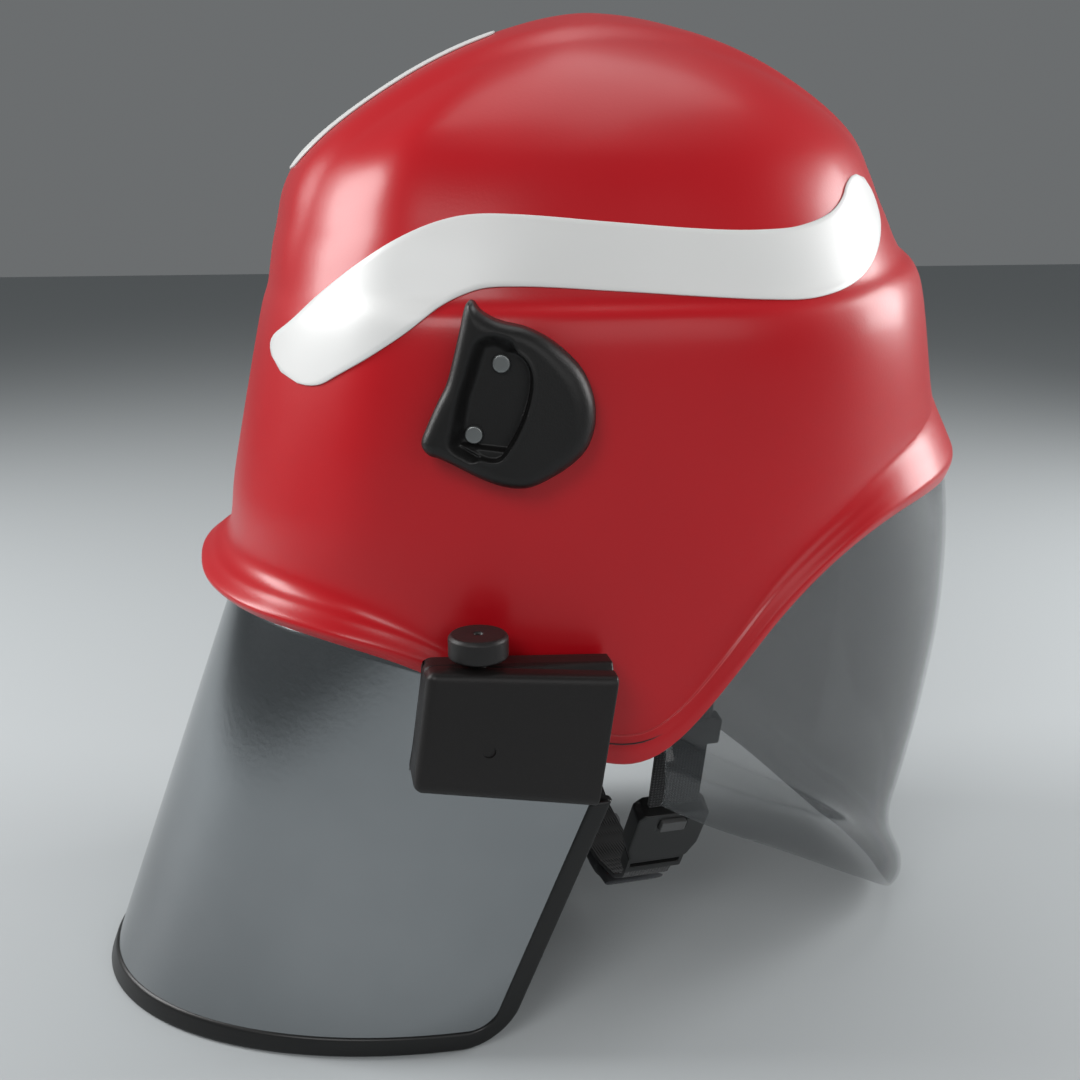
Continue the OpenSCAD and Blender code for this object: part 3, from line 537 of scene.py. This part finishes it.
def build_box(side, sgn):
    S = fillet([(9, -21), (9, 19.4), (2.4, 19.6), (1.4, 18.7), (0.2, 19.9), (-1.2, 21), (-9, 21), (-9, -21)], [4, 5.5, 0.8, 0.6, 0.7, 0.9, 0.8, 1.2])
    rows = []
    for th in np.radians(np.linspace(0, 90, 9)):
        rows.append((-30.25 + 3.2*(1 - math.sin(th)), 3.2*(1 - math.cos(th))))
    rows = rows[::-1]
    # closed front: insets first, then along the box, round the open rear edge and back inside
    prof = [(-30.25, 7.5)] + [(-30.25 + 3.2*(1 - math.cos(t)), 3.2*(1 - math.sin(t))) for t in np.radians(np.linspace(0, 90, 9))]
    prof += [(y, 0.0) for y in np.linspace(-24, 29.4, 20)]
    prof += [(29.9, 0.12), (30.25, 0.6), (30.25, 1.4), (29.9, 1.95), (29.2, 2.2)] + [(y, 2.2) for y in np.linspace(26, -26, 12)] + [(-28, 3.4), (-28.05, 7.5)]
    G = []
    for y, d in prof:
        Q = inset(S, d) if d < 4 else S.mean(0) + (S - S.mean(0))*0.1
        G.append(np.stack([Q[:, 0], np.full(len(Q), y), Q[:, 1]], -1))
    G = np.array(G); v = np.clip((G[..., 1] + 30)/60, 0, 1); up = np.clip(G[..., 2]/21, 0, 1); dn = np.clip(-G[..., 2]/21, 0, 1)
    inn = np.clip((2.0 - G[..., 0])/3, 0, 1)
    G[..., 2] += up*(2.8*v - 2.6*(1 - v)*inn) - 2.2*v*dn; G[..., 1] += 1.3
    G = box_xf(G, sgn)
    F = quads(len(G), G.shape[1], True); V = G.reshape(-1, 3); m = G.shape[1]
    F.append(list(range(m))[::-1]); F.append([len(V) - m + j for j in range(m)])
    o = mk(f"hinge_box_{side}_form", V, F, M_BOX)
    # small round hole in the outer wall in front of the pivot pin
    bpy.ops.mesh.primitive_cylinder_add(vertices=48, radius=0.0021, depth=0.0026, location=(sgn*0.1343, (-52 + YS)*MM, 0.1365), rotation=(0, math.pi/2, 0))
    cut = bpy.context.object; b = o.modifiers.new("hole", "BOOLEAN"); b.object = cut; b.operation = "DIFFERENCE"; b.solver = "EXACT"
    dg = bpy.context.evaluated_depsgraph_get(); me = bpy.data.meshes.new_from_object(o.evaluated_get(dg)); o.modifiers.clear(); o.data = me
    bpy.data.objects.remove(cut)
    me.shade_smooth(); e = o.modifiers.new("edge", "EDGE_SPLIT"); e.split_angle = math.radians(50)
    place(o, f"hinge_box_{side}")
    bpy.ops.mesh.primitive_cube_add(size=1, location=(sgn*0.1135, (-27 + YS)*MM, 0.141)); k = bpy.context.object; k.name = f"box_foot_{side}"
    k.scale = (0.009, 0.014, 0.014); bpy.ops.object.transform_apply(scale=True, location=False, rotation=False)
    k.data.materials.append(M_BOX); bv = k.modifiers.new("b", "BEVEL"); bv.width = 0.001; bv.segments = 3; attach(k, "body")


for side, sgn in (("left", 1), ("right", -1)):
    build_box(side, sgn); dress(f"clamp_jaw_{side}", "jaw_grey", 0.4)
    dress(f"pivot_pin_{side}", "screw_metal", 0.3); dress(f"pivot_bushing_{side}", "hinge_black", 0.5); dress(f"carrier_plate_{side}", "hinge_black", 0)
    bt = 162.5
    pr = arc_pts([(0.001, bt + 8.8), (1.2, bt + 9.0), (1.6, bt + 9.8), (8.5, bt + 9.8), (9.5, bt + 8.7), (9.5, bt + 2.7), (8.8, bt + 2.05), (6.0, bt + 2.0), (6.0, bt + 1.2), (2.5, bt + 1.2), (2.5, 142.5), (0.001, 142.5)], 0.5)
    k = lathe(f"knob_{side}_form", pr, (sgn*123.5, -53, 0), (0, 0, 1), M_KNOB); place(k, f"clamp_knob_{side}")

# ---------------------------------------------------------------- visor
VA, VB, LEAN, LT, TW, A_IN = 97.0, 144.5, 0.376, 2.5, 8.0, 8.0


def vp(a, z, o):
    a = np.radians(a)
    return np.stack([(VA + o)*np.cos(a)*(1 + 0.001*z), -40 - (VB + o)*np.sin(a) + LEAN*z, z + 0*a], -1)


def vtop(a):
    return interp([0, 10, 20, 35, 60, 90], [100, 118, 137, 150, 156, 157], np.where(a > 90, 180 - a, a))


COR = 16.0


def ain(z, d):
    r = max(COR - d, 3.0); zz = np.asarray(z, float) - d
    k = np.where(zz < r, r - np.sqrt(np.maximum(0, r*r - (r - np.maximum(zz, 0))**2)), 0)
    return np.degrees((d + k)/VB)


def build_visor():
    d0 = TW - 1.5
    u = np.linspace(0, 1, 110)[:, None]; z0 = d0 + (157 - d0)*u**1.7
    a0 = ain(z0, d0); a = a0 + (180 - 2*a0)*np.linspace(0, 1, 240)[None, :]
    z = d0 + (vtop(a) - d0)*(z0 - d0)/(157 - d0)
    o = slab("visor_sheet", vp(a, z, 0.0), vp(a, z, -LT), M_VIS); place(o, "visor_lens")

    def path(d):
        r = COR - d; zz = np.linspace(100, COR, 60); P = [(float(ain(z_, d)), z_) for z_ in zz]
        P += [(math.degrees((d + r - r*math.cos(b))/VB), d + r - r*math.sin(b)) for b in np.radians(np.linspace(0, 90, 20)[1:])]
        e = math.degrees(COR/VB); H = [(e + (90 - e)*i/110, d) for i in range(1, 111)]
        L_ = P + H
        return L_ + [(180 - a_, z_) for a_, z_ in L_[-2::-1]]
    D, O = [], []
    r = 1.5; t0, t1 = -LT - 1, 1.0
    for cx, cy, a1 in ((TW - r, t1 - r, 0), (r, t1 - r, 90), (r, t0 + r, 180), (TW - r, t0 + r, 270)):
        for i in range(6):
            th = math.radians(a1 + 18*i); D.append(cx + r*math.cos(th)); O.append(cy + r*math.sin(th))
    cols = []
    for d, o2 in zip(D, O):
        P = np.array(path(d)); cols.append(vp(P[:, 0], P[:, 1], o2))
    G = np.stack(cols, 1)
    o = mk("visor_edge_trim", G.reshape(-1, 3), tube_grid(G), M_TRIM); place(o, "visor_trim")


build_visor()

# ---------------------------------------------------------------- neck guard
G_H = [0, 1, 2.5, 5, 8, 12, 17, 22, 26, 30, 35, 41, 50, 64, 90, 130, 170, 210]
G_R = [0.915, 0.925, 0.936, 0.946, 0.953, 0.955, 0.950, 0.937, 0.923, 0.913, 0.908, 0.910, 0.922, 0.940, 0.968, 0.995, 0.99, 0.95]


def gp(q, t, o):
    sq, cq = np.sin(q), np.cos(q); e = 2/2.4
    ux, uy = np.sign(sq)*np.abs(sq)**e, np.abs(cq)**e
    y0 = YC + 152*0.94*uy; zt = interp(RIMY, RIMZ, y0) + 7; zb = np.maximum(0, interp([8, 34, 75, 112, 133, 150, 158], [98, 83, 61.5, 38.5, 23, 8.5, 2], y0))
    h = (zt - zb)*(1 - t); r = interp(G_H, G_R, h)
    return np.stack([(112*r + o)*ux, YC + (152*r + o)*uy, zb + h], -1)


q, t = np.meshgrid(np.radians(np.linspace(-90, 90, 201)), np.linspace(0, 0.992, 120))
o = slab("guard_sheet", gp(q, t, -0.2), gp(q, t, -1.4), M_GUARD); place(o, "neck_guard")

# ---------------------------------------------------------------- liner and soft pads
def dome_piece(name, t0, o1, o2, nu, nv, mat, groove=None):
    ph = np.arange(nu)*2*np.pi/nu; ts = np.linspace(t0, NL - 0.12, nv); T, PH = np.meshgrid(ts, ph, indexing="ij")
    d = np.zeros(T.shape) if groove is None else groove(T, PH)
    A = so(T, PH, np.full(T.shape, float(o1))); B = so(T, PH, o2 + d)
    t2 = sp(t0 + 0.06, ph) - sp(t0, ph); t2 /= np.linalg.norm(t2, axis=1, keepdims=True)
    mid = [(A[0] + B[0])/2 + (A[0] - B[0])/2*math.cos(th) - t2*min(abs(o1 - o2)/2, 5)*math.sin(th) for th in np.radians([150, 120, 90, 60, 30])]
    G = np.array([*B[::-1], *mid, *A]); N = len(G)*nu
    V = np.concatenate([G.reshape(-1, 3), [APEX + [0, 0, 1.8 + o2], APEX + [0, 0, 1.8 + o1]]]); F = quads(len(G), nu, True)
    for j in range(nu):
        k = (j + 1) % nu; F.append([k, j, N]); F.append([N - nu + j, N - nu + k, N + 1])
    return mk(name, V, F, mat)


def ch(T, PH):
    a = 2.2*np.exp(-(((np.degrees(PH) + 15) % 30 - 15)/2.2)**2)*sst((T - 4.7)/0.6)*sst((9.4 - T)/0.6)
    return a


place(dome_piece("liner_form", 4.15, -3.65, -21.4, 240, 80, M_FOAM, ch), "impact_liner")


def soften(node_name, slot_name, voxel=0.0035, cap=0.0022, shrink=0.0012, frames=20):
    src = frame["nodes"][node_name]
    me = src.data.copy(); o = link(bpy.data.objects.new(node_name + "_soft", me))
    bm = bmesh.new(); bm.from_mesh(me); bmesh.ops.remove_doubles(bm, verts=bm.verts, dist=2e-6); bm.to_mesh(me); bm.free()
    r = o.modifiers.new("remesh", "REMESH"); r.mode = "VOXEL"; r.voxel_size = voxel
    sm = o.modifiers.new("smooth", "SMOOTH"); sm.iterations = 4; sm.factor = 0.5
    dg = bpy.context.evaluated_depsgraph_get(); me2 = bpy.data.meshes.new_from_object(o.evaluated_get(dg)); o.modifiers.clear(); o.data = me2
    n = len(me2.vertices); V = np.empty(n*3); me2.vertices.foreach_get("co", V); V = V.reshape(-1, 3)
    Nn = np.empty(n*3); me2.vertices.foreach_get("normal", Nn); Nn = Nn.reshape(-1, 3); V = V - Nn*shrink
    me2.vertices.foreach_set("co", V.ravel()); me2.update()
    c = o.modifiers.new("cloth", "CLOTH"); st = c.settings; st.use_pressure = True; st.uniform_pressure_force = 4; st.effector_weights.gravity = 0
    st.quality = 5; st.mass = 0.3; st.tension_stiffness = 20; st.compression_stiffness = 20; st.bending_stiffness = 0.4; c.point_cache.frame_end = frames
    sc = bpy.context.scene
    for f in range(1, frames + 1): sc.frame_set(f)
    dg = bpy.context.evaluated_depsgraph_get(); ev = o.evaluated_get(dg).data; W = np.empty(n*3); ev.vertices.foreach_get("co", W); W = W.reshape(-1, 3)
    o.modifiers.clear(); sc.frame_set(1)
    D = W - V; l = np.linalg.norm(D, axis=1, keepdims=True); D *= np.minimum(1, cap/np.maximum(l, 1e-9)); V = V + np.nan_to_num(D)
    me2.vertices.foreach_set("co", V.ravel()); me2.update()
    me2.materials.clear(); me2.materials.append(MAT[slot_name]); me2.shade_smooth()
    sb = o.modifiers.new("sub", "SUBSURF"); sb.levels = 1; sb.render_levels = 1
    place(o, node_name)
    return o


soften("brow_pad", "pad_fabric"); soften("nape_pad", "pad_fabric"); soften("chin_pad", "pad_fabric"); soften("crown_pad", "pad_fabric", voxel=0.004)

# ---------------------------------------------------------------- harness (CAD shapes that stay)
for n_, s_, b_ in (("headband_front", "band_plastic", 0.6), ("headband_rear", "band_plastic", 0.6), ("ratchet_housing", "ratchet_plastic", 1.5), ("ratchet_dial", "ratchet_plastic", 0.7),
                   ("crown_strap_side", "webbing", 0.5), ("crown_strap_long", "webbing", 0.5), ("strap_anchor_left", "band_plastic", 1.2), ("strap_anchor_right", "band_plastic", 1.2),
                   ("chin_strap_left", "webbing", 0.5), ("chin_strap_right", "webbing", 0.5), ("buckle_body", "buckle_black", 1.2), ("buckle_tongue", "buckle_black", 0.6),
                   ("buckle_button", "button_grey", 0.6), ("strap_slider", "buckle_black", 0.8)):
    dress(n_, s_, b_)

# ---------------------------------------------------------------- floor, light, camera
fm = new_mat("floor", (0.46, 0.485, 0.495), 0.65, spec=0.2)
bpy.ops.mesh.primitive_plane_add(size=12, location=(0, 0, -0.0003)); fl = bpy.context.object; fl.name = "floor"; fl.data.materials.append(fm)
w = bpy.data.worlds.new("studio"); bpy.context.scene.world = w; w.use_nodes = True
w.node_tree.nodes["Background"].inputs["Color"].default_value = (0.82, 0.86, 0.88, 1); w.node_tree.nodes["Background"].inputs["Strength"].default_value = 0.18


def area(name, loc, tgt, size, power, col=(1, 1, 1)):
    l = bpy.data.lights.new(name, "AREA"); l.shape = "RECTANGLE"; l.size, l.size_y = size; l.energy = power; l.color = col
    o = link(bpy.data.objects.new(name, l)); o.location = loc
    o.rotation_euler = (Vector(tgt) - Vector(loc)).to_track_quat("-Z", "Y").to_euler(); return o


area("key_front", (-0.42, -1.15, 0.85), (0, -0.02, 0.24), (0.50, 0.80), 17)
area("rear_side", (0.06, 1.30, 0.60), (0, 0.05, 0.24), (0.60, 0.75), 16)
area("side_soft", (1.05, -0.75, 1.05), (0, 0, 0.22), (0.55, 0.55), 7)
area("side_fill", (1.55, 0.35, 0.75), (0, 0, 0.20), (1.1, 0.9), 5)
area("top", (-0.25, 0.25, 1.55), (0, 0, 0.2), (0.9, 0.9), 5)
cam = bpy.data.cameras.new("cam"); cam.sensor_width = 36; cam.lens = 39.68; cam.clip_start = 0.01
co = link(bpy.data.objects.new("cam", cam)); co.location = (0.46585, (-124.82 + YS)*MM, 0.29794)
co.rotation_euler = (Vector((0, YS*MM, 0.166)) - co.location).to_track_quat("-Z", "Y").to_euler()
bpy.context.scene.camera = co
bpy.context.scene.view_settings.view_transform = "Standard"
